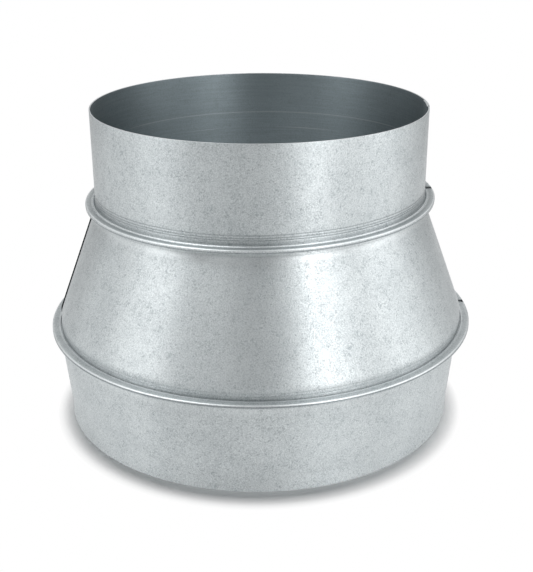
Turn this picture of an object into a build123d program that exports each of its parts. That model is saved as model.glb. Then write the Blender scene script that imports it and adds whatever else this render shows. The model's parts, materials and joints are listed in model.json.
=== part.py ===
from build123d import *
import math
import os

# Round duct reducer of three rolled sheets, joined by two folded ring seams.
# Millimetres and degrees. Z is the duct's axis and the origin is the centre of the large mouth,
# which stands on the ground. +Z points to the small end, and the seen front is towards -Y.
# Azimuths are measured about Z from +X, and the front is at -90.

# Galvanised sheet and how it folds
sheet = 0.5
fold_gap = 0.03
tight_bend = 0.3
neck_bend = 0.5
hem_bend = 0.7

# Small end: a straight collar that a 5 inch duct slips over
small_diameter = 127.0
small_length = 34.6

# Cone
cone_length = 47.2
neck_step = 0.4
foot_diameter = 159.4
foot_band = 3.5
foot_bend = 5.0

# Large end: a slightly tapered collar whose mouth slips over a 6 inch duct
mouth_bore = 152.8
mouth_land = 6.0
mouth_bend = 5.0
large_length = 36.3

# Ring seams: the lower sheet folds out, round the flange of the upper sheet, and back over it
flange_reach = 3.8
flange_tip_gap = 0.25
upper_edge_gap = 0.4
lower_edge_gap = 0.65
ridge_rise = 0.35
ridge_width = 0.4
ridge_lip = 0.3

# Room between the upper seam's ridge and the end of a duct pushed onto the small collar
seat_clearance = 0.12

# Slot in both folded edges, where the lengthwise seams of the collars pass
slot_azimuth = 3.0
slot_width = 2.6

# Lengthwise lap seams
lap_width = 10.0
joggle_width = 3.0
lap_end_gap = 1.2
cone_lap_azimuth = -175.5
collar_lap_azimuth = 3.0

# Shallow marks that the seam roller leaves round the foot of the small collar
roller_mark_heights = (1.9, 2.7, 3.7)
roller_mark_width = 0.4
roller_mark_depth = 0.1

# Radii and levels that follow from the sizes above
small_radius = small_diameter / 2
neck_radius = small_radius - neck_step
foot_radius = foot_diameter / 2
mouth_radius = mouth_bore / 2 + sheet
upper_hem_radius = small_radius + flange_reach
lower_hem_radius = foot_radius + flange_reach

hem_height = 3 * sheet + 2 * fold_gap
flange_level = 2 * sheet + fold_gap
lower_hem = large_length
upper_hem = lower_hem + hem_height + cone_length
rim_level = upper_hem + hem_height + small_length

# The bend at the small collar's foot ends above the ridge, so the duct pushed on meets only straight wall
collar_bend = hem_height - flange_level + ridge_rise + seat_clearance

cone_rise = upper_hem - (lower_hem + hem_height + foot_band)
cone_angle = math.degrees(math.atan((foot_radius - neck_radius) / cone_rise))


def pressed_sheet(points, radii):
    """Solid ring of sheet: points are (radius, height) along its outer face, and the metal lies to their right."""
    outer_face = FilletPolyline(*points, radius=radii)
    section = make_face(offset(outer_face, amount=sheet, side=Side.RIGHT))
    return revolve(Plane.XZ * section, axis=Axis.Z)


def level_polygon(corners, height):
    """Flat polygon at one height from corners given as (radius, azimuth)."""
    points = []
    for radius, azimuth in corners:
        angle = math.radians(azimuth)
        points.append((radius * math.cos(angle), radius * math.sin(angle), height))
    return Face(Wire.make_polygon(points, close=True))


def stacked_prism(line, corners_at):
    """Straight-sided solid through the polygons that corners_at gives at each (radius, height) of the line."""
    slices = [level_polygon(corners_at(radius), height) for radius, height in line]
    pieces = [loft([low, high], ruled=True) for low, high in zip(slices, slices[1:])]
    return pieces[0].fuse(*pieces[1:]) if len(pieces) > 1 else pieces[0]


def add_lap(shell, line, step, edge, turn):
    """Lay the end of a sheet over its beginning along line, with its cut edge at azimuth edge.

    line runs down the face that the second layer lies on, and step is that layer's thickness, outwards if
    positive. The layer spreads from the cut edge in the direction turn, then joggles back into the wall.
    """
    mean_radius = sum(radius for radius, height in line) / len(line)
    lap_angle = math.degrees(lap_width / mean_radius)
    joggle_angle = math.degrees(joggle_width / mean_radius)
    lap_end = edge + turn * lap_angle
    joggle_end = lap_end + turn * joggle_angle

    lifted = [(radius + step, height) for radius, height in line]
    section = make_face(Polyline(*line, *reversed(lifted), close=True))
    layer = revolve(Plane.XZ * section, axis=Axis.Z, revolution_arc=lap_angle)
    layer = Rot(0, 0, min(edge, lap_end)) * layer

    ramp = stacked_prism(
        line,
        lambda radius: [
            (radius + step, lap_end),
            (radius, joggle_end),
            (radius - step / 2, joggle_end),
            (radius - step / 2, lap_end),
        ],
    )
    hollow = stacked_prism(
        line,
        lambda radius: [
            (radius, lap_end),
            (radius - step, joggle_end),
            (radius - 2 * step, joggle_end),
            (radius - 2 * step, lap_end),
        ],
    )
    return shell + layer + ramp - hollow


def edge_slot(radius, level):
    """Cutter for the slot across a folded edge, from the covered flange's face upwards."""
    cutter = Box(
        2 * flange_reach + 2 * sheet,
        slot_width,
        hem_height + ridge_rise,
        align=(Align.CENTER, Align.CENTER, Align.MIN),
    )
    return Rot(0, 0, slot_azimuth) * Pos(radius, 0, level) * cutter


def make_small_collar():
    """Straight collar with an outward flange at its foot and its lap seam inside."""
    top_face = upper_hem + flange_level
    flange_radius = upper_hem_radius - sheet - flange_tip_gap
    ring = pressed_sheet(
        [(small_radius, rim_level), (small_radius, top_face), (flange_radius, top_face)],
        [collar_bend],
    )

    for height in roller_mark_heights:
        middle = upper_hem + hem_height + height
        mark = make_face(
            Polyline(
                (small_radius - roller_mark_depth, middle),
                (small_radius + roller_mark_depth, middle + roller_mark_width),
                (small_radius + roller_mark_depth, middle - roller_mark_width),
                close=True,
            )
        )
        ring -= revolve(Plane.XZ * mark, axis=Axis.Z)

    inside = small_radius - sheet
    lap_foot = top_face + collar_bend + lap_end_gap
    line = [(inside, rim_level), (inside, lap_foot)]
    return add_lap(ring, line, -sheet, collar_lap_azimuth, -1)


def make_cone():
    """Cone with a folded edge round the upper seam, a turned-out foot and its lap seam outside."""
    edge_radius = small_radius + upper_edge_gap
    fold_top = upper_hem + hem_height
    band_top = lower_hem + hem_height + foot_band
    foot_level = lower_hem + flange_level
    flange_radius = lower_hem_radius - sheet - flange_tip_gap
    ring = pressed_sheet(
        [
            (edge_radius, fold_top + ridge_rise - ridge_lip),
            (edge_radius + ridge_width, fold_top + ridge_rise),
            (upper_hem_radius, fold_top),
            (upper_hem_radius, upper_hem),
            (neck_radius, upper_hem),
            (foot_radius, band_top),
            (foot_radius, foot_level),
            (flange_radius, foot_level),
        ],
        [hem_bend, hem_bend, hem_bend, neck_bend, foot_bend, tight_bend],
    )
    ring -= edge_slot(upper_hem_radius, upper_hem + flange_level)

    # The second layer follows the straight side, the foot's bend and the band under it
    tangent = foot_bend * math.tan(math.radians(cone_angle) / 2)
    slope = math.tan(math.radians(cone_angle))
    top = upper_hem - lap_end_gap
    bend_start = band_top + tangent * math.cos(math.radians(cone_angle))
    line = [
        (neck_radius + (upper_hem - top) * slope, top),
        (neck_radius + (upper_hem - bend_start) * slope, bend_start),
        (foot_radius, band_top - tangent),
        (foot_radius, lower_hem + hem_height),
    ]
    step = sheet / math.cos(math.radians(cone_angle))
    return add_lap(ring, line, step, cone_lap_azimuth, -1)


def make_large_collar():
    """Tapered collar with a folded edge round the lower seam, a straight mouth and its lap seam outside."""
    edge_radius = foot_radius + lower_edge_gap
    fold_top = lower_hem + hem_height
    ring = pressed_sheet(
        [
            (edge_radius, fold_top),
            (lower_hem_radius, fold_top),
            (lower_hem_radius, lower_hem),
            (foot_radius, lower_hem),
            (mouth_radius, mouth_land),
            (mouth_radius, 0),
        ],
        [hem_bend, hem_bend, neck_bend, mouth_bend],
    )
    ring -= edge_slot(lower_hem_radius, lower_hem + flange_level)

    slope = (foot_radius - mouth_radius) / (lower_hem - mouth_land)
    top = lower_hem - lap_end_gap
    line = [
        (mouth_radius + (top - mouth_land) * slope, top),
        (mouth_radius, mouth_land),
        (mouth_radius, 0),
    ]
    return add_lap(ring, line, sheet, collar_lap_azimuth, 1)


os.makedirs("parts", exist_ok=True)
export_step(make_small_collar(), "parts/small_collar.step")
export_step(make_cone(), "parts/cone.step")
export_step(make_large_collar(), "parts/large_collar.step")
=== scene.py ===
"""Galvanised sheet duct reducer, standing on its wide mouth on a pale floor in soft studio light.

Three rolled sheets make it: a straight small collar, a cone and a slightly tapered large collar. In each ring seam
the lower sheet folds out, round the flange of the sheet above, and back over it.

Sizes are in millimetres and become metres where a mesh is made. Azimuths are in degrees about +Z from +X, and the
front that the camera sees is at -90.
"""

import json
import logging
import math
from collections.abc import Callable
from dataclasses import dataclass
from enum import Enum
from functools import cached_property, partial

import bpy
import numpy as np
from mathutils import Matrix, Vector


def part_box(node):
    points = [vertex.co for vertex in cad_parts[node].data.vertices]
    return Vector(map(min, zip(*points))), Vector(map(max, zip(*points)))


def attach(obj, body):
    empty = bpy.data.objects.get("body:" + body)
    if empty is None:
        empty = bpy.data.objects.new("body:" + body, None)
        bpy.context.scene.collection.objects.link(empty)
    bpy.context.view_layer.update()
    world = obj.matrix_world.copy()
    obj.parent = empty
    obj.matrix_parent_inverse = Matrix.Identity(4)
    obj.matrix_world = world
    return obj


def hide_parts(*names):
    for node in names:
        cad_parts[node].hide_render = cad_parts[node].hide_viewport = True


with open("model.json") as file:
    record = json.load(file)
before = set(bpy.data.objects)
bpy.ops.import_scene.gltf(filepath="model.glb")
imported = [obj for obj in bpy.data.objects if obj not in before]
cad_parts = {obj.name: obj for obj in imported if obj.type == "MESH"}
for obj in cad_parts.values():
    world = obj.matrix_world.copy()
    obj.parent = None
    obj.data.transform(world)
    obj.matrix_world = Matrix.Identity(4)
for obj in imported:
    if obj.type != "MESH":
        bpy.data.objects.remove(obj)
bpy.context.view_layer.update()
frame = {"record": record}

log = logging.getLogger("duct_reducer")

METRES = 0.001
CREASE_ANGLE = 35.0
BODY = "root"


def smooth_step(share: np.ndarray) -> np.ndarray:
    """Ease from 0 to 1 with level ends: 3 s^2 - 2 s^3, with s held between 0 and 1."""
    share = np.clip(share, 0.0, 1.0)
    return share * share * (3.0 - 2.0 * share)


def bell(distance: np.ndarray, half_width: float) -> np.ndarray:
    """1 in the middle, falling off as exp(-(distance / half width)^2)."""
    return np.exp(-((distance / half_width) ** 2))


def wrapped(degrees: np.ndarray) -> np.ndarray:
    """Angles brought to between -180 and 180 degrees."""
    return (degrees + 180.0) % 360.0 - 180.0


@dataclass(frozen=True)
class SheetStock:
    """The galvanised sheet and how tightly it bends, in millimetres.

    A bend's size is the radius of its outer face in the section.
    """

    thickness: float = 0.5
    fold_gap: float = 0.03
    flange_reach: float = 3.8
    flange_tip_gap: float = 0.25
    tight_bend: float = 0.3
    neck_bend: float = 1.1
    hem_bend: float = 0.52
    burr: float = 0.07


@dataclass(frozen=True)
class DuctSizes:
    """Radii and levels of the duct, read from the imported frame, in millimetres.

    A hem is the underside of a ring seam's fold, and a flange's face lies flange_level above it.
    """

    small_radius: float
    foot_radius: float
    mouth_radius: float
    upper_hem_radius: float
    lower_hem_radius: float
    upper_hem: float
    lower_hem: float
    rim: float
    hem_height: float
    flange_level: float

    @classmethod
    def from_frame(cls, stock: SheetStock) -> "DuctSizes":
        """Work the sizes out from the nodes' boxes and the mounts.

        Args:
            stock: The sheet that all three pieces are rolled from.

        Returns:
            The sizes that the pieces share.
        """
        mounts = {mount["name"]: mount["dims"] for mount in frame["record"]["mounts"]}
        collar_low, collar_high = (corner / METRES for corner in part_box("small_collar"))
        large_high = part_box("large_collar")[1] / METRES
        hem_height = 3 * stock.thickness + 2 * stock.fold_gap
        return cls(
            small_radius=mounts["small_end"]["r_mm"],
            foot_radius=large_high.x - stock.flange_reach,
            mouth_radius=mounts["large_end"]["r_mm"] + stock.thickness,
            upper_hem_radius=collar_high.x + stock.flange_tip_gap + stock.thickness,
            lower_hem_radius=large_high.x,
            upper_hem=collar_low.z - stock.fold_gap - stock.thickness,
            lower_hem=large_high.z - hem_height,
            rim=collar_high.z,
            hem_height=hem_height,
            flange_level=2 * stock.thickness + stock.fold_gap,
        )

    @property
    def upper_top(self) -> float:
        """Height of the upper ring seam's top."""
        return self.upper_hem + self.hem_height

    @property
    def lower_top(self) -> float:
        """Height of the lower ring seam's top."""
        return self.lower_hem + self.hem_height


@dataclass(frozen=True)
class Skin:
    """Rows and columns of a sheet's skin.

    Each row has a travel along the section, a height and a depth_share from 0 outside to 1 inside. Each column has
    an azimuth.
    """

    travel: np.ndarray
    level: np.ndarray
    depth_share: np.ndarray
    azimuth: np.ndarray


@dataclass(frozen=True)
class SheetSection:
    """Section of a bent sheet, as its outer face with the metal to the right of the travel.

    A point of the sheet is outer(travel) + depth * normal(travel), with depth from 0 to the sheet's thickness.
    """

    travel: np.ndarray
    outer: np.ndarray
    normal: np.ndarray

    BEND_STEP = 14.0
    LEAST_BEND_PARTS = 3
    SUPPORT = 0.12
    FINE_STEPS = 20001

    @classmethod
    def through(cls, corners: list[tuple[float, float]], bends: list[float]) -> "SheetSection":
        """Join corners by straight runs and round each inner corner by the arc that touches both runs.

        The arc of bend b at a turn t starts b tan(t / 2) before the corner. A point on it is the centre plus or
        minus b times the normal, which turns evenly from one run's to the next one's.

        Args:
            corners: (radius, height) of each corner of the outer face.
            bends: Radius of the outer face at each inner corner.

        Returns:
            The section.
        """
        corner = np.array(corners, float)
        run = np.diff(corner, axis=0)
        heading = np.unwrap(np.arctan2(run[:, 1], run[:, 0]))
        points = [corner[:1]]
        normals = [cls._right_of(heading[:1])]
        for at, bend in enumerate(bends):
            turn = heading[at + 1] - heading[at]
            side = -np.sign(turn)
            along = np.array([math.cos(heading[at]), math.sin(heading[at])])
            start = corner[at + 1] - bend * math.tan(abs(turn) / 2) * along
            parts = max(cls.LEAST_BEND_PARTS, round(math.degrees(abs(turn)) / cls.BEND_STEP))
            normal = cls._right_of(heading[at] + turn * np.linspace(0, 1, parts + 1))
            centre = start + side * bend * normal[0]
            points.append(centre - side * bend * normal)
            normals.append(normal)
        points.append(corner[-1:])
        normals.append(cls._right_of(heading[-1:]))
        outer = np.concatenate(points)
        travel = np.concatenate([[0.0], np.cumsum(np.linalg.norm(np.diff(outer, axis=0), axis=1))])
        return cls(travel, outer, np.concatenate(normals))

    @staticmethod
    def _right_of(heading: np.ndarray) -> np.ndarray:
        """Unit vectors to the right of the headings, in radians."""
        return np.stack([np.sin(heading), -np.cos(heading)], axis=-1)

    @property
    def length(self) -> float:
        """Length of the outer face."""
        return float(self.travel[-1])

    def at(self, travel: np.ndarray, depth: np.ndarray) -> np.ndarray:
        """Points (radius, height) of the sheet at each travel and depth."""
        outer, normal = (
            [np.interp(travel, self.travel, column) for column in values.T] for values in (self.outer, self.normal)
        )
        return np.stack([face + depth * slant for face, slant in zip(outer, normal)], axis=-1)

    def level(self, travel: np.ndarray) -> np.ndarray:
        """Height of the outer face at each travel."""
        return np.interp(travel, self.travel, self.outer[:, 1])

    def is_wall(self, travel: np.ndarray) -> np.ndarray:
        """Where the outer face looks outwards, within 60 degrees of level."""
        return np.interp(travel, self.travel, self.normal[:, 0]) < -0.5

    def travel_at(self, height: float) -> float:
        """Find where the wall is at a height, on fine steps along the section.

        Args:
            height: Height in millimetres.

        Returns:
            The travel there.
        """
        fine = np.linspace(0, self.length, self.FINE_STEPS)
        away = np.where(self.is_wall(fine), abs(self.level(fine) - height), np.inf)
        return float(fine[np.argmin(away)])

    def stations(self, spacing: float, extra: list[float]) -> np.ndarray:
        """Choose the travels at which the surface gets a row.

        Every bend keeps its own points. A straight run is cut into equal parts no longer than spacing, with a
        row close to each end, so that the shading turns in the bend and not along the run.

        Args:
            spacing: Longest part of a straight run.
            extra: Further travels that get a row.

        Returns:
            The travels in order.
        """
        rows = [self.travel, np.array(extra)]
        for start, end in zip(self.travel[:-1], self.travel[1:]):
            if end - start > 3 * self.SUPPORT:
                parts = math.ceil((end - start) / spacing)
                rows.append(np.linspace(start, end, parts + 1))
                rows.append(np.array([start + self.SUPPORT, end - self.SUPPORT]))
        return np.unique(np.round(np.concatenate(rows), 6))


class LapSide(Enum):
    """Face of the wall that the second layer of a lap seam lies on."""

    OUTSIDE = 1
    INSIDE = -1


@dataclass(frozen=True)
class Lap:
    """Lengthwise lap seam of a rolled sheet: one end lies over the other, then joggles back into the wall.

    The layer spreads from its cut edge in the direction turn. Each layer is one sheet thick, and a row of spot
    welds holds them together. A cut edge is drawn by a pair of columns CUT to either side of it.
    """

    edge: float
    turn: int
    side: LapSide
    mean_radius: float
    low: float
    high: float
    step: float
    width: float = 10.0
    joggle: float = 3.0
    weld_pitch: float = 9.5
    weld_radius: float = 2.1
    weld_depth: float = 0.07
    weld_clear_of_end: float = 1.5

    CUT = 0.012

    def columns(self) -> np.ndarray:
        """Choose the azimuths that the seam needs: both cut edges, the welded strip and the joggle.

        Returns:
            The azimuths.
        """
        cut_edge = np.array([-0.05, -self.CUT, self.CUT, 0.05])
        marks = [
            np.array([-3.0, -1.5, -0.6]),
            cut_edge,
            self.width + cut_edge,
            np.linspace(0.4, self.width - 0.4, 20),
            np.linspace(self.width + 0.2, self.width + self.joggle + 0.4, 12),
        ]
        return self.edge + self.turn * np.degrees(np.concatenate(marks) / self.mean_radius)

    def rows(self) -> list[float]:
        """Heights at which the layer starts and ends, doubled."""
        ends = [self.low - self.CUT, self.low + self.CUT, self.high - self.CUT, self.high + self.CUT]
        return [height for height in ends if math.isfinite(height)]

    def _cover(self, skin: Skin) -> tuple[np.ndarray, np.ndarray]:
        """For each row, 1 where the layer covers it, and its nearness to the layer's face, from 0 to 1."""
        covered = ((skin.level > self.low) & (skin.level < self.high)).astype(float)
        return covered, 1.0 - skin.depth_share if self.side is LapSide.OUTSIDE else skin.depth_share

    def cut_faces(self, skin: Skin) -> np.ndarray:
        """Find the points on the two layers' cut edges.

        Args:
            skin: Rows and columns of the sheet.

        Returns:
            1 on a cut edge, else 0, rows by columns.
        """
        along = np.radians(wrapped((skin.azimuth - self.edge) * self.turn)) * self.mean_radius
        covered, near = self._cover(skin)
        own = abs(along) < 2 * self.CUT
        other = abs(along - self.width) < 2 * self.CUT
        return (covered * (near > 0.5))[:, None] * own + (covered * (near < 0.5))[:, None] * other

    def shift(self, skin: Skin) -> np.ndarray:
        """Work out how far the surface moves outwards.

        The face that the layer lies on is raised by a step from the cut edge on, and falls back to the wall over
        the joggle. The far face follows it there only past the other layer's cut edge. Each weld is a round dent
        of depth d (1 - q^2)^2, with q the distance from its centre over its radius.

        Args:
            skin: Rows and columns of the sheet.

        Returns:
            Outward shift, rows by columns.
        """
        along = np.radians((skin.azimuth - self.edge) * self.turn % 360.0) * self.mean_radius
        fall = 1.0 - smooth_step((along - self.width) / self.joggle)
        near_raise = np.where(along < self.width + self.joggle, fall, 0.0)
        far_raise = np.where(along > self.width, near_raise, 0.0)
        covered, near = self._cover(skin)
        raised = near[:, None] * near_raise + (1.0 - near)[:, None] * far_raise

        level = skin.level
        nearest = np.round(level / self.weld_pitch) * self.weld_pitch
        margin = self.weld_clear_of_end * self.weld_radius
        inner = (nearest > self.low + margin) & (nearest < self.high - margin)
        reach = np.hypot((along - self.width / 2)[None, :], (level - nearest)[:, None]) / self.weld_radius
        dent = (1.0 - np.minimum(reach, 1.0) ** 2) ** 2 * (covered * inner)[:, None]
        pressed = (2.0 * near - 1.0)[:, None] * dent
        return self.side.value * (self.step * covered[:, None] * raised - self.weld_depth * pressed)


@dataclass(frozen=True)
class EdgeSlot:
    """Slot across a folded edge, where the lengthwise seam of a collar passes.

    Between its sides the sheet ends at travel cut instead of at its free edge.
    """

    azimuth: float
    width: float
    radius: float
    cut: float
    # Painted shade on the slot's sides and bottom, from 0 to 1
    darkness: float = 0.8

    CUT = 0.01
    SQUEEZE = 0.02

    def columns(self) -> np.ndarray:
        """Azimuths of both sides, doubled, and of the bottom between them."""
        across = self.width / 2 + np.array([0.25, 0.05, self.CUT, -self.CUT, -0.05])
        return self.azimuth + np.degrees(np.concatenate([-across, [0.0], across]) / self.radius)

    def _away(self, azimuth: np.ndarray) -> np.ndarray:
        """Distance round the duct from the slot's middle."""
        return abs(np.radians(wrapped(azimuth - self.azimuth))) * self.radius

    def cut_faces(self, skin: Skin) -> np.ndarray:
        """1 on the slot's two sides and its bottom, else 0, rows by columns."""
        near_side = self._away(skin.azimuth) < self.width / 2 + 2 * self.CUT
        return (skin.travel < self.cut - 1e-6)[:, None] * near_side[None, :]

    def holds(self, azimuth: np.ndarray) -> np.ndarray:
        """Which azimuths lie between the slot's sides."""
        return self._away(azimuth) < self.width / 2

    def trimmed(self, travel: np.ndarray) -> np.ndarray:
        """Travels pulled back to the slot's bottom, squeezed fiftyfold so that no two rows meet."""
        return np.where(travel < self.cut, self.cut - self.SQUEEZE * (self.cut - travel), travel)


@dataclass(frozen=True)
class Ripple:
    """Slight waviness that rolling leaves in a wall, faded out over a fade_rate-th of it at each end.

    The shift is the sum of cosines with whole numbers of waves round the duct. Each drifts round with height by
    up to drift radians, and by up to bow radians more as the square of the height.
    """

    height: float
    low: float
    high: float
    seed: int
    waves: tuple[int, ...] = (3, 5, 8, 13, 19)
    drift: float = 3.0
    bow: float = 2.0
    fade_rate: float = 5.0

    def shift(self, skin: Skin) -> np.ndarray:
        """Add the waves up.

        Args:
            skin: Rows and columns of the sheet.

        Returns:
            Outward shift, rows by columns.
        """
        random = np.random.default_rng(self.seed)
        angle = np.radians(skin.azimuth)[None, :]
        middle = (skin.level - self.low)[:, None] / (self.high - self.low)
        total = np.zeros((len(skin.level), len(skin.azimuth)))
        for count in self.waves:
            phase, drift, bow = random.uniform(-1, 1, 3)
            turn = math.pi * phase + self.drift * drift * middle + self.bow * bow * middle**2
            total += np.cos(count * angle + turn)
        fade = smooth_step(middle * self.fade_rate) * smooth_step((1.0 - middle) * self.fade_rate)
        return self.height * fade * total / len(self.waves)


@dataclass(frozen=True)
class Grooves:
    """Shallow level marks that a roller presses into a wall's outer face."""

    heights: tuple[float, ...] = ()
    half_width: float = 0.2
    depth: float = 0.0

    def presence(self, level: np.ndarray, widened: float = 1.0) -> np.ndarray:
        """1 in the middle of a groove, falling off to its sides as a bell, for each row."""
        away = level[:, None] - np.array(self.heights)
        return bell(away, widened * self.half_width).max(axis=1, initial=0.0)

    def rows(self) -> list[float]:
        """Seven heights across each groove."""
        across = np.array([-2.0, -1.2, -0.6, 0.0, 0.6, 1.2, 2.0]) * self.half_width
        return [height + float(away) for height in self.heights for away in across]


@dataclass(frozen=True)
class EdgeRidge:
    """Ridge that the seam roller raises along a fold's free edge, on its outer face."""

    rise: float = 0.0
    inset: float = 0.42
    half_width: float = 0.21

    def rows(self) -> list[float]:
        """Nine travels across the ridge, if there is one."""
        across = np.linspace(-1.6, 2.2, 9) if self.rise else []
        return [self.inset + float(away) * self.half_width for away in across]


@dataclass(frozen=True)
class Scratch:
    """Faint bright scratch round part of the inner face, which fades out over the last degrees of each end."""

    height: float
    start: float
    end: float
    strength: float
    half_width: float = 0.16
    fade: float = 12.0

    def presence(self, skin: Skin) -> np.ndarray:
        """Work out how much of the scratch each point shows.

        Args:
            skin: Rows and columns of the sheet.

        Returns:
            0 to strength, rows by columns, and 0 on the outer face.
        """
        line = bell(skin.level - self.height, self.half_width) * (skin.depth_share > 0.5)
        inside = np.minimum(skin.azimuth - self.start, self.end - skin.azimuth)
        return self.strength * line[:, None] * smooth_step(inside / self.fade)[None, :]

    def rows(self) -> list[float]:
        """Five heights across the scratch."""
        return [self.height + float(across) * self.half_width for across in np.linspace(-1.8, 1.8, 5)]


@dataclass(frozen=True)
class OutOfTrue:
    """How far the photographed duct is out of true, in millimetres.

    Its ring seams lean up towards +X, and its large collar sits towards -X and is a little oval. All three sheets
    are bent by the same formula, so that the folds stay closed.
    """

    upper_lean: float = 0.0125
    lower_lean: float = 0.006
    collar_push: float = 0.75
    collar_oval: float = 0.35
    clear_of_hem: float = 4.0

    def bent(self, points: np.ndarray, sizes: DuctSizes) -> np.ndarray:
        """Move (x, y, z) to (x (1 + oval h / r) - push h, y, z + x lean).

        The lean is full at a seam and falls evenly to none at the rim and the mouth. h is 1 in the large collar's
        wall and 0 from its seam upwards, and r is the mouth's radius.

        Args:
            points: Points in millimetres, with three numbers in the last axis.
            sizes: Radii and levels of the duct.

        Returns:
            The moved points.
        """
        levels = [0.0, sizes.lower_hem, sizes.lower_top, sizes.upper_hem, sizes.upper_top, sizes.rim]
        leans = [0.0, self.lower_lean, self.lower_lean, self.upper_lean, self.upper_lean, 0.0]
        x, y, z = np.moveaxis(points, -1, 0)
        share = np.interp(z, [sizes.lower_hem - self.clear_of_hem, sizes.lower_hem], [1.0, 0.0])
        wide = 1.0 + self.collar_oval * share / sizes.mouth_radius
        return np.stack([x * wide - self.collar_push * share, y, z + x * np.interp(z, levels, leans)], axis=-1)


@dataclass(frozen=True)
class RolledSheet:
    """Base of the three pieces: one bent section carried round the axis, with its laps, slots and marks."""

    sizes: DuctSizes
    stock: SheetStock
    name: str = ""
    node: str = ""
    spacing: float = 1.0
    base_columns: int = 432
    lap_azimuth: float = 3.0
    crowding: float = 0.2

    @cached_property
    def section(self) -> SheetSection:
        """Section of the piece."""
        raise NotImplementedError

    @cached_property
    def lap(self) -> Lap:
        """Lengthwise seam of the piece."""
        raise NotImplementedError

    @cached_property
    def slots(self) -> list[EdgeSlot]:
        """Slots in the folded edge of the piece."""
        return []

    @cached_property
    def ripple(self) -> Ripple:
        """Waviness of the piece's wall."""
        raise NotImplementedError

    @cached_property
    def grooves(self) -> Grooves:
        """Marks round the outer face."""
        return Grooves()

    @cached_property
    def ridge(self) -> EdgeRidge:
        """Ridge along the free edge."""
        return EdgeRidge()

    @cached_property
    def scratches(self) -> list[Scratch]:
        """Scratches on the inner face."""
        return []

    def grime(self, skin: Skin) -> np.ndarray:
        """Painted shade on the outer face, in the seams' crevices, marks and hidden parts, from 0 to 1, for each
        row.
        """
        raise NotImplementedError

    def polish(self, skin: Skin) -> np.ndarray:
        """Painted highlight and painted light on the outer face, where the roughness is also lower, from 0 to 1,
        for each row.
        """
        return np.zeros(len(skin.travel))

    def _rows(self, parts: tuple[Lap | Grooves | Scratch, ...], extra: list[float]) -> np.ndarray:
        """Choose the travels of one face's rows, clear of the burrs.

        Args:
            parts: What the face shows that needs rows at heights of its own.
            extra: Further travels that get a row.

        Returns:
            The travels in order.
        """
        burr, length = self.stock.burr, self.section.length
        heights = [height for part in parts for height in part.rows()]
        marks = [self.section.travel_at(height) for height in heights] + [slot.cut for slot in self.slots]
        rows = self.section.stations(self.spacing, marks + extra)
        return np.concatenate([[burr], rows[(rows > 2 * burr) & (rows < length - 2 * burr)], [length - burr]])

    def _loop(self) -> tuple[np.ndarray, np.ndarray, np.ndarray]:
        """Go once round the section, with the corners of both cut edges rounded by the burr radius.

        Returns:
            Travel and depth of each row, and 1 where the row lies on a cut edge.
        """
        sheet, burr, length = self.stock.thickness, self.stock.burr, self.section.length
        outer = self._rows((self.lap, self.grooves), self.ridge.rows())
        inner = self._rows((self.lap, *self.scratches), [])
        quarter = np.radians([22.5, 45.0, 67.5, 90.0])
        rise, fall = burr * np.sin(quarter), burr * (1 - np.cos(quarter))
        edge_depth = np.linspace(burr, sheet - burr, 5)[1:-1]
        turn_travel = np.concatenate([rise, np.full(3, burr), burr - np.append(0.0, fall)[:-1]])
        turn_depth = np.concatenate([fall, edge_depth, sheet - burr + np.append(0.0, rise)[:-1]])
        travel = np.concatenate([outer, length - burr + turn_travel, inner[::-1], burr - turn_travel])
        depth = np.concatenate([np.zeros(len(outer)), turn_depth, np.full(len(inner), sheet), sheet - turn_depth])
        turned = np.ones(len(turn_travel))
        cut = np.concatenate([np.zeros(len(outer)), turned, np.zeros(len(inner)), turned])
        return travel, depth, cut

    def _azimuths(self) -> np.ndarray:
        """Choose the columns: even ones, less those that crowd a seam's own, and the seams' own.

        Returns:
            The azimuths in order.
        """
        own = np.concatenate([part.columns() for part in (self.lap, *self.slots)]) % 360.0
        even = np.arange(self.base_columns) * 360.0 / self.base_columns
        away = abs(wrapped(even[:, None] - own[None, :])).min(axis=1)
        return np.unique(np.round(np.concatenate([even[away > self.crowding], own]), 6))

    def surface(self) -> tuple[np.ndarray, dict[str, np.ndarray]]:
        """Work out the whole skin of the sheet on one closed grid.

        Row r, column c is at azimuth a and at radius(r) + shift(r, c) and height(r) of the section, where the
        shift adds up the lap, the waviness and the marks. The ridge and the grooves move only the outer face.

        Returns:
            Points in millimetres, rows by columns by three, and the values that the finish follows, per point.
        """
        travel, depth, cut = self._loop()
        share = depth / self.stock.thickness
        skin = Skin(travel, self.section.level(travel), share, self._azimuths())
        flat = np.repeat(self.section.at(travel, depth)[:, None, :], len(skin.azimuth), axis=1)
        in_slot = np.zeros(len(skin.azimuth), bool)
        for slot in self.slots:
            held = slot.holds(skin.azimuth)
            trimmed = self.section.at(slot.trimmed(travel), depth)
            flat = np.where(held[None, :, None], trimmed[:, None, :], flat)
            in_slot |= held

        ridge = self.ridge.rise * bell(travel - self.ridge.inset, self.ridge.half_width) * (1.0 - share)
        groove = self.grooves.depth * self.grooves.presence(skin.level) * (1.0 - share)
        wall = self.section.is_wall(travel)[:, None]
        radius = flat[..., 0] - groove[:, None] + self.lap.shift(skin) + self.ripple.shift(skin) * wall
        angle = np.radians(skin.azimuth)
        height = flat[..., 1] + ridge[:, None] * ~in_slot[None, :]
        true = np.stack([radius * np.cos(angle), radius * np.sin(angle), height], axis=-1)

        # Per row: painted shade, painted highlight and light, depth through the sheet, and the burrs of the cut
        # edges
        rows = {
            "grime": self.grime(skin) * (share < 0.5),
            "polish": self.polish(skin) * (share < 0.5),
            "inner_face": share,
            "cut_edge": cut,
        }
        values = {label: value[:, None] * np.ones((1, len(skin.azimuth))) for label, value in rows.items()}
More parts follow.
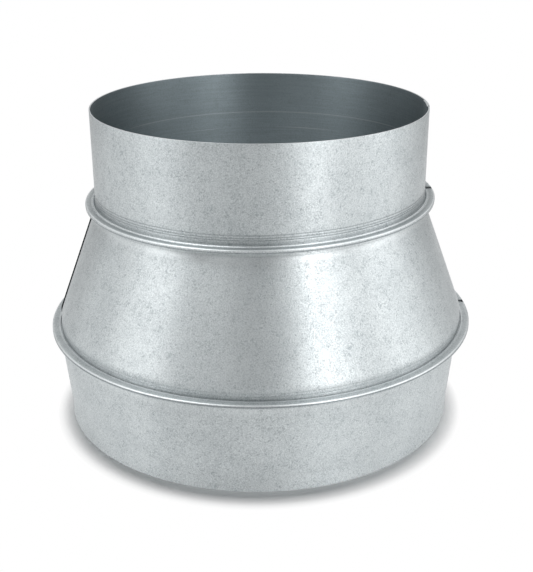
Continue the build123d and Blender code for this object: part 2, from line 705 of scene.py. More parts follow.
        # The lap's cut edges get a near-black grey, partly raw steel and partly painted shade; the slots' faces
        # get painted shade in the gap
        slot_shade = [slot.cut_faces(skin) * slot.darkness for slot in self.slots]
        values["lap_edge"] = np.maximum.reduce([self.lap.cut_faces(skin), *slot_shade])
        values["scratch"] = sum((scratch.presence(skin) for scratch in self.scratches), np.zeros(radius.shape))
        return OutOfTrue().bent(true, self.sizes), values

    def build(self, finish: "ZincFinish") -> None:
        """Make the piece's mesh, dress it and set it on the frame.

        Args:
            finish: The finish of the sheet.
        """
        points, values = self.surface()
        piece = grid_object(self.name, points, values)
        piece.data.materials.append(finish.material())
        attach(piece, BODY)
        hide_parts(self.node)
        log.info("%s: %d rows by %d columns", self.name, points.shape[0], points.shape[1])


def linked(name: str, data: bpy.types.ID) -> bpy.types.Object:
    """Make an object and put it in the scene.

    Args:
        name: Name of the object.
        data: Its mesh, lamp or camera.

    Returns:
        The object.
    """
    made = bpy.data.objects.new(name, data)
    bpy.context.scene.collection.objects.link(made)
    return made


def grid_object(name: str, points: np.ndarray, values: dict[str, np.ndarray]) -> bpy.types.Object:
    """Make an object from a grid of points that closes on itself along both rows and columns.

    Each quad joins a point to the next row and the next column, in the order that turns its face outwards.

    Args:
        name: Name of the object and its mesh.
        points: Rows by columns by three, in millimetres.
        values: Named numbers per point, rows by columns, which become attributes.

    Returns:
        The object, smooth but for the creases over CREASE_ANGLE.
    """
    rows, columns = points.shape[:2]
    index = np.arange(rows * columns).reshape(rows, columns)
    down, across = np.roll(index, -1, axis=0), np.roll(index, -1, axis=1)
    quads = np.stack([index, down, np.roll(down, -1, axis=1), across], axis=-1).reshape(-1, 4)

    mesh = bpy.data.meshes.new(name)
    mesh.vertices.add(rows * columns)
    mesh.vertices.foreach_set("co", (points * METRES).astype(np.float32).ravel())
    mesh.loops.add(quads.size)
    mesh.loops.foreach_set("vertex_index", quads.astype(np.int32).ravel())
    mesh.polygons.add(len(quads))
    mesh.polygons.foreach_set("loop_start", np.arange(0, quads.size, 4, dtype=np.int32))
    mesh.update(calc_edges=True)
    for label, value in values.items():
        attribute = mesh.attributes.new(label, "FLOAT", "POINT")
        attribute.data.foreach_set("value", value.astype(np.float32).ravel())
    mesh.validate()
    mesh.shade_smooth()
    mesh.set_sharp_from_angle(angle=math.radians(CREASE_ANGLE))
    return linked(name, mesh)


@dataclass(frozen=True)
class SmallCollar(RolledSheet):
    """Straight collar that a duct slips over, with its lap seam inside and a flange at its foot."""

    name: str = "small_collar_sheet"
    node: str = "small_collar"
    foot_bend: float = 1.0
    lap_clear_of_bend: float = 1.2
    mark_levels: tuple[float, ...] = (1.9, 2.7, 3.7)
    mark_depth: float = 0.1
    # Painted shade: the grooves darker, the wall darker down towards the seam and at its foot, and the flange
    # hidden in the fold dark where it shows in the slots.
    mark_shade: float = 0.4
    mark_spread: float = 1.3
    band_shade: tuple[float, float] = (0.02, 0.07)
    foot_shade: float = 0.15
    foot_shade_level: float = 0.9
    foot_shade_ease: float = 0.4
    hidden_start: float = 1.0

    @cached_property
    def section(self) -> SheetSection:
        """From the rim down to the foot and out along the flange."""
        sizes, stock = self.sizes, self.stock
        face = sizes.upper_hem + sizes.flange_level
        flange = sizes.upper_hem_radius - stock.thickness - stock.flange_tip_gap
        corners = [(sizes.small_radius, sizes.rim), (sizes.small_radius, face), (flange, face)]
        return SheetSection.through(corners, [self.foot_bend])

    @cached_property
    def lap(self) -> Lap:
        """The seam lies inside, so that the outside stays round."""
        sizes, stock = self.sizes, self.stock
        low = sizes.upper_hem + sizes.flange_level + self.foot_bend + self.lap_clear_of_bend
        inside = sizes.small_radius - stock.thickness
        return Lap(self.lap_azimuth, -1, LapSide.INSIDE, inside, low, math.inf, stock.thickness)

    @cached_property
    def ripple(self) -> Ripple:
        """Waviness above the roller marks and below the rim."""
        return Ripple(height=0.05, low=self.sizes.upper_hem + 8.0, high=self.sizes.rim + 6.0, seed=3)

    @cached_property
    def grooves(self) -> Grooves:
        """Three marks of the seam roller."""
        return Grooves(tuple(self.sizes.upper_top + level for level in self.mark_levels), depth=self.mark_depth)

    @cached_property
    def scratches(self) -> list[Scratch]:
        """Broken rings where the collar turned on its forming tool."""
        below_rim = ((16.9, 20.0, 153.0, 0.45), (23.7, 56.0, 84.0, 0.5), (23.7, 100.0, 124.0, 0.3))
        return [Scratch(self.sizes.rim - drop, *ends_and_strength) for drop, *ends_and_strength in below_rim]

    def grime(self, skin: Skin) -> np.ndarray:
        """Painted shade in the grooves, thickening down to the seam and at the wall's foot, and full on the hidden
        flange.

        Args:
            skin: Rows and columns of the sheet.

        Returns:
            0 to 1 for each row.
        """
        level, seam_top = skin.level, self.sizes.upper_top
        top = seam_top + max(self.mark_levels)
        least, more = self.band_shade
        band = np.where(level < top, least + more * smooth_step((top - level) / (top - seam_top)), 0.0)
        foot = self.foot_shade * smooth_step((seam_top + self.foot_shade_level - level) / self.foot_shade_ease)
        hidden = skin.travel > self.sizes.rim - seam_top + self.hidden_start
        marks = self.mark_shade * self.grooves.presence(level, self.mark_spread)
        return np.maximum.reduce([marks, band + foot, hidden])


@dataclass(frozen=True)
class Fold:
    """Folded edge of a ring seam: its underside's height, the radius that it stands out from, and its own."""

    hem: float
    neck: float
    radius: float


@dataclass(frozen=True)
class SeamShading:
    """Painted shade and painted light along a folded edge, from 0 to 1, and where in millimetres.

    The shade darkens the fold's flat top and the marks on and under the fold. The light paints highlights on the
    free edge and the fold's upper bend, and lightens the neck against the shade under the fold.

    The flat is the fold's top, from its free edge to its bend. The neck is the wall's top, right under the fold.
    The values are the cone's, whose edge is a ridge.
    """

    flat_start: float = 0.77
    flat_ease: float = 0.4
    flat_shade: float = 0.52
    fold_shade: float = 0.7
    fold_spread: float = 1.3
    wall_shade: float = 0.2
    edge_at: float = 0.42
    edge_width: float = 0.21
    edge_highlight: float = 0.5
    neck_light: float = 0.38
    flat_end: float = 0.5
    flat_end_ease: float = 0.3
    bend_highlight: float = 0.7
    bend_inset: float = 0.2
    bend_width: float = 0.28
    neck_drop: float = 2.6
    neck_width: float = 1.5


@dataclass(frozen=True)
class FoldedSheet(RolledSheet):
    """Base of the cone and the large collar, whose top edge folds over the flange of the sheet above."""

    # Painted shade and painted light along the fold
    seam_shading: SeamShading = SeamShading()
    edge_gap: float = 0.4
    neck_step: float = 0.0
    fold_mark: float = 0.5
    neck_mark: float = 1.95
    mark_half_width: float = 0.18
    mark_depth: float = 0.05
    slot_azimuth: float = 0.8
    slot_width: float = 2.6
    lap_clear_of_hem: float = 1.2

    @cached_property
    def fold(self) -> Fold:
        """Folded edge of the piece."""
        raise NotImplementedError

    @property
    def top(self) -> float:
        """Width of the fold's flat top, with its bend taken as a corner."""
        return self.fold.radius - self.fold.neck - self.edge_gap

    def _folded(self, below: list[tuple[float, float]], bends: list[float]) -> SheetSection:
        """Lay the section from the free edge over the fold, in under the flange and on down.

        Args:
            below: Corners below the neck.
            bends: Their bends.

        Returns:
            The section.
        """
        fold, hem_bend = self.fold, self.stock.hem_bend
        fold_top = fold.hem + self.sizes.hem_height
        corners = [
            (fold.neck + self.edge_gap, fold_top),
            (fold.radius, fold_top),
            (fold.radius, fold.hem),
            (fold.neck - self.neck_step, fold.hem),
        ]
        return SheetSection.through(corners + below, [hem_bend, hem_bend, self.stock.neck_bend, *bends])

    @cached_property
    def slots(self) -> list[EdgeSlot]:
        """One slot across the fold, which ends halfway round its outer bend."""
        at_outside = int(np.argmax(self.section.outer[:, 0] > self.fold.radius - 1e-6))
        cut = float(self.section.travel[at_outside])
        return [EdgeSlot(self.slot_azimuth, self.slot_width, self.fold.radius, cut)]

    @cached_property
    def grooves(self) -> Grooves:
        """One mark on the fold's outside and one close under it."""
        return Grooves(self._marks(), self.mark_half_width, self.mark_depth)

    def _marks(self) -> tuple[float, ...]:
        """Heights of the marks."""
        return self.fold.hem + self.fold_mark, self.fold.hem - self.neck_mark

    def grime(self, skin: Skin) -> np.ndarray:
        """Painted shade and painted dark reflection on the fold's flat top, and painted shade in the marks on and
        under the fold.

        Args:
            skin: Rows and columns of the sheet.

        Returns:
            0 to 1 for each row.
        """
        seam_shading, travel, top = self.seam_shading, skin.travel, self.top
        start = smooth_step((travel - seam_shading.flat_start) / seam_shading.flat_ease)
        flat = start * smooth_step((top - seam_shading.flat_end - travel) / seam_shading.flat_end_ease)
        wall = travel > top + self.sizes.hem_height
        on_wall = seam_shading.wall_shade * self.grooves.presence(skin.level) * wall
        on_fold = seam_shading.fold_shade * self.grooves.presence(skin.level, seam_shading.fold_spread) * (travel > top) * ~wall
        return np.maximum.reduce([seam_shading.flat_shade * flat, on_wall, on_fold])

    def polish(self, skin: Skin) -> np.ndarray:
        """Painted highlight along the free edge and the fold's upper bend, and painted light on the neck against
        the shade under the fold.

        Args:
            skin: Rows and columns of the sheet.

        Returns:
            0 to 1 for each row.
        """
        seam_shading, travel = self.seam_shading, skin.travel
        neck_at = self.section.travel_at(self.fold.hem - seam_shading.neck_drop)
        edge = seam_shading.edge_highlight * bell(travel - seam_shading.edge_at, seam_shading.edge_width)
        bend = seam_shading.bend_highlight * bell(travel - self.top + seam_shading.bend_inset, seam_shading.bend_width)
        neck = seam_shading.neck_light * bell(travel - neck_at, seam_shading.neck_width)
        return np.maximum.reduce([edge, bend, neck])


@dataclass(frozen=True)
class Cone(FoldedSheet):
    """Cone whose top edge folds over the small collar's flange, and whose foot is the next flange."""

    name: str = "cone_sheet"
    node: str = "cone"
    spacing: float = 1.8
    base_columns: int = 400
    lap_azimuth: float = -175.5
    neck_step: float = 0.4
    foot_band: float = 3.5
    foot_bend: float = 5.0
    band_marks: tuple[float, ...] = (1.1, 2.3)
    # Painted shade on the band just above the lower seam, darker towards the seam
    band_shade: tuple[float, float] = (0.02, 0.1)

    @cached_property
    def fold(self) -> Fold:
        """The upper ring seam's fold."""
        return Fold(self.sizes.upper_hem, self.sizes.small_radius, self.sizes.upper_hem_radius)

    @property
    def slope(self) -> float:
        """How much the radius grows per millimetre down the cone."""
        drop = self.fold.hem - self.sizes.lower_top - self.foot_band
        return (self.sizes.foot_radius - self.fold.neck + self.neck_step) / drop

    @cached_property
    def section(self) -> SheetSection:
        """From the ridged free edge, over the fold and under the flange, down the cone to its own flange."""
        sizes, stock = self.sizes, self.stock
        foot, face = sizes.foot_radius, sizes.lower_hem + sizes.flange_level
        flange = sizes.lower_hem_radius - stock.thickness - stock.flange_tip_gap
        below = [(foot, sizes.lower_top + self.foot_band), (foot, face), (flange, face)]
        return self._folded(below, [self.foot_bend, stock.tight_bend])

    @cached_property
    def lap(self) -> Lap:
        """One seam down the left side, outside, from just under the upper seam to the lower one."""
        low, high = self.sizes.lower_top, self.fold.hem - self.lap_clear_of_hem
        middle = self.fold.neck + self.slope * (self.fold.hem - low) / 2
        step = self.stock.thickness * math.hypot(1.0, self.slope)
        return Lap(self.lap_azimuth, -1, LapSide.OUTSIDE, middle, low, high, step)

    @cached_property
    def ripple(self) -> Ripple:
        """Waviness between the two seams."""
        return Ripple(height=0.11, low=self.sizes.lower_hem + 5.0, high=self.sizes.upper_hem, seed=11)

    def _marks(self) -> tuple[float, ...]:
        """Heights of the fold's marks and of two above the lower seam."""
        return *super()._marks(), *(self.sizes.lower_top + level for level in self.band_marks)

    @cached_property
    def ridge(self) -> EdgeRidge:
        """The free edge stands up a little where the roller closed the fold."""
        return EdgeRidge(rise=0.35)

    def grime(self, skin: Skin) -> np.ndarray:
        """Painted shade as on any folded sheet, and on the band above the lower seam, darker towards the seam.

        Args:
            skin: Rows and columns of the sheet.

        Returns:
            0 to 1 for each row.
        """
        seam_top = self.sizes.lower_top
        band_top = seam_top + self.band_marks[-1]
        least, more = self.band_shade
        band = least + more * smooth_step((band_top - skin.level) / (band_top - seam_top))
        wall = skin.travel > self.top + self.sizes.hem_height
        return np.maximum(super().grime(skin), np.where(skin.level < band_top, band, 0.0) * wall)


@dataclass(frozen=True)
class LargeCollar(FoldedSheet):
    """Slightly tapered collar whose top edge folds over the cone's flange, and whose mouth takes a duct."""

    name: str = "large_collar_sheet"
    node: str = "large_collar"
    spacing: float = 1.2
    edge_gap: float = 0.65
    fold_mark: float = 0.85
    neck_mark: float = 1.7
    slot_azimuth: float = 2.0
    mouth_land: float = 6.0
    mouth_bend: float = 5.0
    # Painted shade and painted light along the lower seam's fold
    seam_shading: SeamShading = SeamShading(
        flat_start=0.2,
        flat_ease=0.15,
        flat_shade=0.18,
        fold_shade=0.8,
        fold_spread=1.6,
        wall_shade=0.35,
        edge_at=0.0,
        edge_width=0.35,
        edge_highlight=0.6,
        neck_light=0.2,
    )

    @cached_property
    def fold(self) -> Fold:
        """The lower ring seam's fold."""
        return Fold(self.sizes.lower_hem, self.sizes.foot_radius, self.sizes.lower_hem_radius)

    @cached_property
    def section(self) -> SheetSection:
        """From the flat free edge, over the fold and under the flange, down to the mouth."""
        mouth = self.sizes.mouth_radius
        return self._folded([(mouth, self.mouth_land), (mouth, 0.0)], [self.mouth_bend])

    @cached_property
    def lap(self) -> Lap:
        """One seam outside, so that the mouth's bore stays round."""
        high = self.fold.hem - self.lap_clear_of_hem
        middle = (self.sizes.mouth_radius + self.sizes.foot_radius) / 2
        return Lap(self.lap_azimuth, 1, LapSide.OUTSIDE, middle, -math.inf, high, self.stock.thickness)

    @cached_property
    def ripple(self) -> Ripple:
        """Waviness between the mouth and the seam."""
        return Ripple(height=0.06, low=-4.0, high=self.sizes.lower_hem - 1.0, seed=21)


def linear(colour: str) -> tuple[float, float, float, float]:
    """Turn an sRGB hex colour such as "#c3c8ca" into linear red, green, blue and alpha."""
    channels = (int(colour[at : at + 2], 16) / 255 for at in (1, 3, 5))
    red, green, blue = (c / 12.92 if c <= 0.04045 else ((c + 0.055) / 1.055) ** 2.4 for c in channels)
    return red, green, blue, 1.0


def add_node(
    tree: bpy.types.NodeTree, kind: str, inputs: dict | None = None, **settings: object
) -> bpy.types.Node:
    """Add one shader node with its settings and links.

    Args:
        tree: Tree that gets the node.
        kind: The node's type without its first part, such as "Math".
        inputs: For each input, by its name or place, a value, a source socket, or a node whose first output it is.
        **settings: The node's own settings.

    Returns:
        The node.
    """
    node = tree.nodes.new("ShaderNode" + kind)
    for label, value in settings.items():
        setattr(node, label, value)
    for label, value in (inputs or {}).items():
        source = value.outputs[0] if isinstance(value, bpy.types.Node) else value
        if isinstance(source, bpy.types.NodeSocket):
            tree.links.new(source, node.inputs[label])
        else:
            node.inputs[label].default_value = source
    return node


def emptied(owner: bpy.types.Material | bpy.types.World) -> Callable[..., bpy.types.Node]:
    """Empty a material's or world's shader tree.

    Args:
        owner: The material or world.

    Returns:
        What adds a node to the tree.
    """
    owner.use_nodes = True
    owner.node_tree.nodes.clear()
    return partial(add_node, owner.node_tree)


@dataclass(frozen=True)
class ZincFinish:
    """Hot-dip galvanised steel with a minimised spangle, skin-passed.

    It gives the eye a cool satin grey with a fine dark grain and soft clouds. The rolled skin spreads reflections
    up and down, across the rolling direction, so bright bands stand upright on the round walls. Inside it is
    duller, partly where the sheet was not wiped and partly as painted shade for the inside of the duct, and shows
    faint level streaks. Layers over the zinc paint shade and highlights along the seams, and shade on the lap's
    raw edge and in the slots.

    A pattern's size is in millimetres, its span is the noise between which it goes from none to all, and its share
    is how much darkness it adds.
    """

    name: str = "galvanised_steel"
    zinc: str = "#d5dadb"
    frost: str = "#a1a8ab"
    # The inner face's grey is darkened partly as painted shade for the inside of the duct. The dust grey also
    # paints the shade along the seams, the brightest grey paints highlights and light, and the darkest grey paints
    # the lap's raw edge and the slots' faces with painted shade.
    inside: str = "#869195"
    dust_and_shade: str = "#6b7275"
    sheared: str = "#bdc1c3"
    raw_edge_and_shade_grey: str = "#2c3133"
    scratched: str = "#b4bbbd"
    painted_highlight: str = "#e9edee"
    roughness: float = 0.46
    bare_smoother: float = 0.03
    fleck_rougher: float = 0.06
    polish_smoother: float = 0.12
    rough_span: tuple[float, float] = (0.2, 0.8)
    anisotropy: float = 0.75
    upright_spread: float = 0.25
    relief: float = 0.02

    grain: float = 0.42
    grain_span: tuple[float, float] = (0.33, 0.67)
    grain_share: float = 0.62
    fleck: float = 0.6
    fleck_span: tuple[float, float] = (0.74, 0.9)
    fleck_share: float = 0.5
    clump: float = 3.0
    clump_share: float = 0.4
    cloud: float = 15.0
    cloud_span: tuple[float, float] = (0.35, 0.65)
    cloud_share: float = 0.14
    crystal: float = 2.0
    crystal_share: float = 0.06
    inside_grain: float = 0.45
    streak_length: float = 18.0
    streak_width: float = 0.6
    streak_span: tuple[float, float] = (0.35, 0.65)
    streak_light: tuple[float, float] = (0.93, 1.05)

    def material(self) -> bpy.types.Material:
        """Make the material once and give it to every piece.

        Returns:
            The material.
        """
        made = bpy.data.materials.get(self.name)
        if made:
            return made
        made = bpy.data.materials.new(self.name)
        add = emptied(made)

        # Object coordinates in millimetres, so that each pattern's scale is one over its real size
        metres = add("TexCoord").outputs["Object"]
        place = add("VectorMath", {0: metres, "Scale": 1 / METRES}, operation="SCALE")
        dark = self._darkness(add, place)

        colour = add("Mix", {0: dark, 6: linear(self.zinc), 7: linear(self.frost)}, data_type="RGBA")
        # Layers over the zinc: the inner face, darkened partly as painted shade; painted shade along the seams;
        # painted highlight and light; the sheared edges; the lap's raw edge and the slots' faces, darkened as
        # painted shade; scratches
        layers = (
            ("inner_face", self._inside_shaded_colour(add, place, dark)),
            ("grime", linear(self.dust_and_shade)),
            ("polish", linear(self.painted_highlight)),
            ("cut_edge", linear(self.sheared)),
            ("lap_edge", linear(self.raw_edge_and_shade_grey)),
            ("scratch", linear(self.scratched)),
        )
        for attribute, tint in layers:
            share = add("Attribute", attribute_name=attribute).outputs["Fac"]
            colour = add("Mix", {0: share, 6: colour.outputs[2], 7: tint}, data_type="RGBA")

        # The flecks are a little rougher and lie a little lower than the bare zinc round them
        low, high = self.rough_span
        ends = {3: self.roughness - self.bare_smoother, 4: self.roughness + self.fleck_rougher}
        rough = add("MapRange", {0: dark, 1: low, 2: high, **ends})
        rubbed = add("Attribute", attribute_name="polish").outputs["Fac"]
        rough = add("Math", {0: rubbed, 1: -self.polish_smoother, 2: rough}, operation="MULTIPLY_ADD")
        relief = {"Height": dark, "Strength": 1.0, "Distance": self.relief * METRES}
        sockets = {
            "Base Color": colour.outputs[2],
            "Metallic": 1.0,
            "Roughness": rough,
            "Anisotropic": self.anisotropy,
            "Anisotropic Rotation": self.upright_spread,
            "Normal": add("Bump", relief, invert=True),
        }
        add("OutputMaterial", {"Surface": add("BsdfPrincipled", sockets)})
        return made

    def _darkness(self, add: Callable[..., bpy.types.Node], place: bpy.types.Node) -> bpy.types.Node:
        """Add up the flecks, grain, crystals and clouds to one value from 0 to about 1.

        Args:
            add: Adds a node to the material.
            place: Object coordinates in millimetres.

        Returns:
            The node that gives the value.
        """
        rugged = {"Vector": place, "Roughness": 0.6}
        grain = add("TexNoise", {**rugged, "Scale": 1 / self.grain})
        fleck = add("TexNoise", {**rugged, "Scale": 1 / self.fleck, "Distortion": 0.5})
        clump = add("TexNoise", {"Vector": place, "Scale": 1 / self.clump})
        cloud = add("TexNoise", {"Vector": place, "Scale": 1 / self.cloud, "Detail": 3.0})
        cell = add("TexVoronoi", {"Vector": place, "Scale": 1 / self.crystal}, feature="F1")
        crystal = add("SeparateColor", {0: cell.outputs["Color"]})

        # Dark flecks come where their noise peaks, more of them in the clumps
        peak = add("Math", {0: clump, 1: self.clump_share, 2: fleck}, operation="MULTIPLY_ADD")
        patterns = (
            (peak, self.fleck_span, self.fleck_share),
            (grain, self.grain_span, self.grain_share),
            (cloud, self.cloud_span, self.cloud_share),
        )
        dark = add("Math", {0: crystal, 1: self.crystal_share}, operation="MULTIPLY")
        for noise, (low, high), share in patterns:
            part = add("MapRange", {0: noise, 1: low, 2: high, 3: 0.0, 4: share})
            dark = add("Math", {0: dark, 1: part}, operation="ADD")
        return dark

    def _inside_shaded_colour(
        self, add: Callable[..., bpy.types.Node], place: bpy.types.Node, dark: bpy.types.Node
    ) -> bpy.types.Node:
        """Give the inner face's zinc, duller and darkened partly as painted shade for the inside of the duct, with
        level streaks.

        Args:
            add: Adds a node to the material.
            place: Object coordinates in millimetres.
            dark: Darkness of the grain.

        Returns:
            The node that gives the colour.
        """
        across = self.streak_width / self.streak_length
        squeezed = add("VectorMath", {0: place, 1: (across, across, 1.0)}, operation="MULTIPLY")
        noise = {"Vector": squeezed, "Scale": 1 / self.streak_width, "Detail": 3.0, "Roughness": 0.6}
        ends = dict(zip((1, 2, 3, 4), self.streak_span + self.streak_light))
        streak = add("MapRange", {0: add("TexNoise", noise), **ends})
        frosted = add("Math", {0: dark, 1: self.inside_grain}, operation="MULTIPLY")
        dull = add("Mix", {0: frosted, 6: linear(self.inside), 7: linear(self.dust_and_shade)}, data_type="RGBA")
        return add("VectorMath", {0: dull.outputs[2], "Scale": streak}, operation="SCALE")


def direction(azimuth: float, elevation: float) -> Vector:
    """Unit vector at an azimuth and elevation in degrees."""
    around, up = math.radians(azimuth), math.radians(elevation)
    return Vector((math.cos(around) * math.cos(up), math.sin(around) * math.cos(up), math.sin(up)))


@dataclass(frozen=True)
class SoftBox:
    """Soft lamp aimed at the middle of the duct. At radiance 1 it is as bright as lit white paper."""

    name: str
    azimuth: float
    elevation: float
    width: float
    height: float
    radiance: float
    distance: float = 800.0

    def build(self, target: Vector) -> None:
        """Make the lamp.

        Args:
            target: Point that the lamp looks at, in metres.
        """
        lamp = bpy.data.lights.new(self.name, "AREA")
        lamp.shape = "RECTANGLE"
        lamp.size = self.width * METRES
        lamp.size_y = self.height * METRES
        lamp.energy = self.radiance * math.pi * lamp.size * lamp.size_y
        holder = linked(self.name, lamp)
        out = direction(self.azimuth, self.elevation)
        turned = out.to_track_quat("Z", "Y").to_matrix().to_4x4()
        holder.matrix_world = Matrix.Translation(target + out * self.distance * METRES) @ turned
        holder.visible_diffuse = False
        log.info("lamp %s", self.name)


def flat_mesh(name: str, points: np.ndarray, faces: np.ndarray, material: bpy.types.Material) -> bpy.types.Object:
    """Make an object from points and faces.

    Args:
        name: Name of the object and its mesh.
        points: Points by three, in millimetres.
        faces: Places of each face's points.
        material: What it is made of.

    Returns:
        The object.
    """
    mesh = bpy.data.meshes.new(name)
    mesh.from_pydata((points * METRES).tolist(), [], faces.tolist())
    mesh.materials.append(material)
    return linked(name, mesh)


@dataclass(frozen=True)
class GreyCard:
    """Upright curved board that only the metal sees, in place of the white round it. At level 1 it is white."""

    name: str
    start: float
    end: float
    level: float
    radius: float = 700.0
    height: float = 1600.0
    foot: float = 0.0
    parts: int = 12

    def build(self) -> None:
        """Make the card as a grid over azimuth and height, on a circle round the duct."""
        azimuth = np.radians(np.linspace(self.start, self.end, self.parts + 1))
        ring = np.stack([np.cos(azimuth), np.sin(azimuth)], axis=-1) * self.radius
        edges = [np.column_stack([ring, np.full(len(ring), level)]) for level in (self.foot, self.height)]
        first = np.arange(self.parts)
        above = first + len(ring)
        grey = bpy.data.materials.new(self.name)
        add = emptied(grey)
        glow = add("Emission", {"Color": linear("#ffffff"), "Strength": self.level})
        add("OutputMaterial", {"Surface": glow})
        faces = np.stack([first, first + 1, above + 1, above], axis=-1)
        card = flat_mesh(self.name, np.concatenate(edges), faces, grey)
        card.visible_camera = False
        card.visible_diffuse = False
        card.visible_shadow = False
        log.info("card %s", self.name)


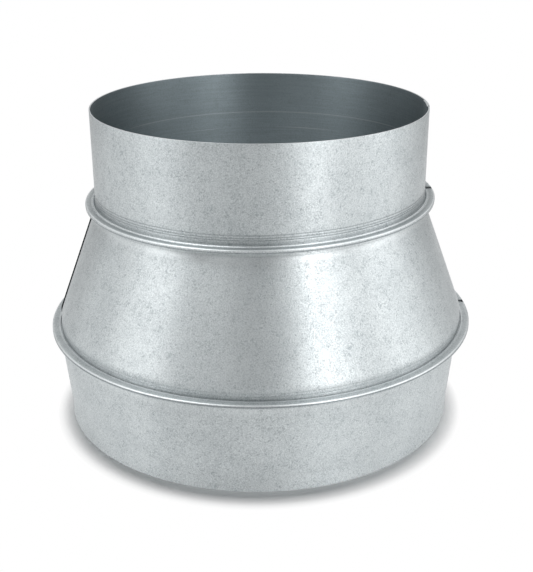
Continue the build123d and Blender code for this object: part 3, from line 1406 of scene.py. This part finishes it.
@dataclass(frozen=True)
class Studio:
    """Pale floor, white background, soft lamps and the camera at the photograph's view."""

    floor_radius: float = 6000.0
    floor_sides: int = 96
    floor_drop: float = 0.02
    floor_colour: str = "#ffffff"
    floor_white_in_metal: float = 0.75
    shadow_start: float = 74.5
    shadow_end: float = 82.5
    shadow_centre: tuple[float, float] = (-1.0, -5.5)
    sky_level: float = 0.06
    sun_level: float = 0.98
    sun_spread: float = 14.0
    sun_lean: float = 6.0

    camera_distance: float = 370.81
    camera_rise: float = 76.54
    camera_tilt: float = 22.165
    camera_pan: float = 0.369
    camera_roll: float = -0.26
    focal_pixels: float = 987.94
    image_height: float = 572.0
    sensor: float = 36.0

    lamps: tuple[SoftBox, ...] = (
        SoftBox("key_lamp", -56.0, 24.0, 230.0, 800.0, 2.35),
        SoftBox("key_fill_lamp", -44.0, 32.0, 420.0, 800.0, 0.6),
        SoftBox("side_lamp", -8.0, 24.0, 400.0, 800.0, 1.2),
        SoftBox("left_lamp", -156.0, 30.0, 440.0, 800.0, 1.2),
        SoftBox("high_left_lamp", -148.0, 58.0, 300.0, 300.0, 3.4),
        SoftBox("high_right_lamp", -46.0, 58.0, 300.0, 300.0, 1.2),
    )
    cards: tuple[GreyCard, ...] = (
        GreyCard("front_card", -99.0, -73.0, 0.36),
        GreyCard("dark_card", -124.0, -99.0, 0.02, height=200.0),
        GreyCard("high_grey_card", -111.0, -99.0, 0.6, foot=200.0),
        GreyCard("high_light_card", -122.0, -111.0, 1.3, foot=200.0),
        GreyCard("front_left_card", -142.0, -122.0, 0.3),
        GreyCard("back_card", 25.0, 155.0, 0.35, height=235.0),
    )

    def build(self, sizes: DuctSizes) -> None:
        """Make everything round the duct.

        Args:
            sizes: Radii and levels of the duct.
        """
        self._floor()
        self._world()
        self._sun()
        middle = Vector((0, 0, sizes.rim / 2 * METRES))
        for lamp in self.lamps:
            lamp.build(middle)
        for card in self.cards:
            card.build()
        self._camera(sizes)
        bpy.context.scene.view_settings.view_transform = "Standard"

    def _floor(self) -> None:
        """Round sheet of white paper, as a fan of triangles round its middle."""
        sides = self.floor_sides
        around = np.arange(sides) * 2 * math.pi / sides
        rim = np.stack([np.cos(around), np.sin(around)], axis=-1) * self.floor_radius
        points = np.column_stack([np.vstack([rim, np.zeros((1, 2))]), np.full(sides + 1, -self.floor_drop)])
        ring = np.arange(sides)
        faces = np.stack([ring, np.roll(ring, -1), np.full(sides, sides)], axis=-1)
        paper = bpy.data.materials.new("white_paper")
        add = emptied(paper)
        lit = add("BsdfDiffuse", {"Color": linear(self.floor_colour)})
        white = add("Emission", {"Color": linear(self.floor_colour), "Strength": 1.0})
        add("OutputMaterial", {"Surface": add("MixShader", {0: self._white_share(add), 1: lit, 2: white})})
        floor = flat_mesh("floor", points, faces, paper)
        log.info("floor")

    def _white_share(self, add: Callable[..., bpy.types.Node]) -> bpy.types.Node:
        """How far the paper is plain white instead of lit: all of it away from the duct, most of it in metal.

        The camera sees the lit paper, with the duct's shadow, out to shadow_start from shadow_centre, and it fades
        to white by shadow_end.

        Args:
            add: Adds a node to the paper's material.

        Returns:
            The node that gives the share.
        """
        place = add("TexCoord").outputs["Object"]
        centre = (*(side * METRES for side in self.shadow_centre), 0.0)
        away = add("VectorMath", {0: place, 1: centre}, operation="DISTANCE").outputs["Value"]
        ends = {1: self.shadow_start * METRES, 2: self.shadow_end * METRES, 3: 0.0, 4: 1.0}
        fade = add("MapRange", {0: away, **ends})
        path = add("LightPath").outputs
        camera = add("Math", {0: fade, 1: path["Is Camera Ray"]}, operation="MULTIPLY")
        seen = add("Math", {0: path["Is Glossy Ray"], 1: path["Is Transmission Ray"]}, operation="ADD")
        return add("Math", {0: seen, 1: self.floor_white_in_metal, 2: camera}, operation="MULTIPLY_ADD")

    def _world(self) -> None:
        """White where the camera and reflections look, and a plain grey level of light for everything else."""
        world = bpy.data.worlds.new("studio")
        bpy.context.scene.world = world
        add = emptied(world)
        path = add("LightPath").outputs
        seen = add("Math", {0: path["Is Camera Ray"], 1: path["Is Glossy Ray"]}, operation="ADD")
        seen = add("Math", {0: seen, 1: path["Is Transmission Ray"]}, operation="ADD", use_clamp=True)
        level = add("MapRange", {0: seen, 1: 0.0, 2: 1.0, 3: self.sky_level, 4: 1.0})
        sky = add("Background", {"Color": linear("#ffffff"), "Strength": level})
        add("OutputWorld", {"Surface": sky})

    def _sun(self) -> None:
        """Soft light from above, a little from behind, which keeps the shadow close round the foot."""
        lamp = bpy.data.lights.new("top_light", "SUN")
        lamp.angle = math.radians(self.sun_spread)
        lamp.energy = self.sun_level * math.pi
        holder = linked("top_light", lamp)
        holder.rotation_euler = (math.radians(-self.sun_lean), 0, 0)
        holder.visible_glossy = False
        log.info("top light")

    def _camera(self, sizes: DuctSizes) -> None:
        """Camera in front, above the rim, turned by pan and tilt and then rolled about its own view.

        Args:
            sizes: Radii and levels of the duct.
        """
        tilt, pan, roll = (math.radians(a) for a in (self.camera_tilt, self.camera_pan, self.camera_roll))
        forward = Vector((math.sin(pan) * math.cos(tilt), math.cos(pan) * math.cos(tilt), -math.sin(tilt)))
        level_right = Vector((math.cos(pan), -math.sin(pan), 0.0))
        upright = level_right.cross(forward)
        right = level_right * math.cos(roll) + upright * math.sin(roll)
        up = right.cross(forward)
        data = bpy.data.cameras.new("camera")
        data.sensor_width = self.sensor
        data.lens = self.focal_pixels / self.image_height * self.sensor
        data.clip_start, data.clip_end = 0.01, 30.0
        camera = linked("camera", data)
        turned = Matrix((right, up, -forward)).transposed().to_4x4()
        place = Vector((0, -self.camera_distance, sizes.rim + self.camera_rise)) * METRES
        camera.matrix_world = Matrix.Translation(place) @ turned
        bpy.context.scene.camera = camera
        log.info("camera")


def main() -> None:
    """Build the three sheets and the studio."""
    logging.basicConfig(level=logging.INFO, format="%(message)s")
    stock = SheetStock()
    sizes = DuctSizes.from_frame(stock)
    finish = ZincFinish()
    for piece in (SmallCollar(sizes, stock), Cone(sizes, stock), LargeCollar(sizes, stock)):
        piece.build(finish)
    Studio().build(sizes)


if __name__ == "__main__":
    main()
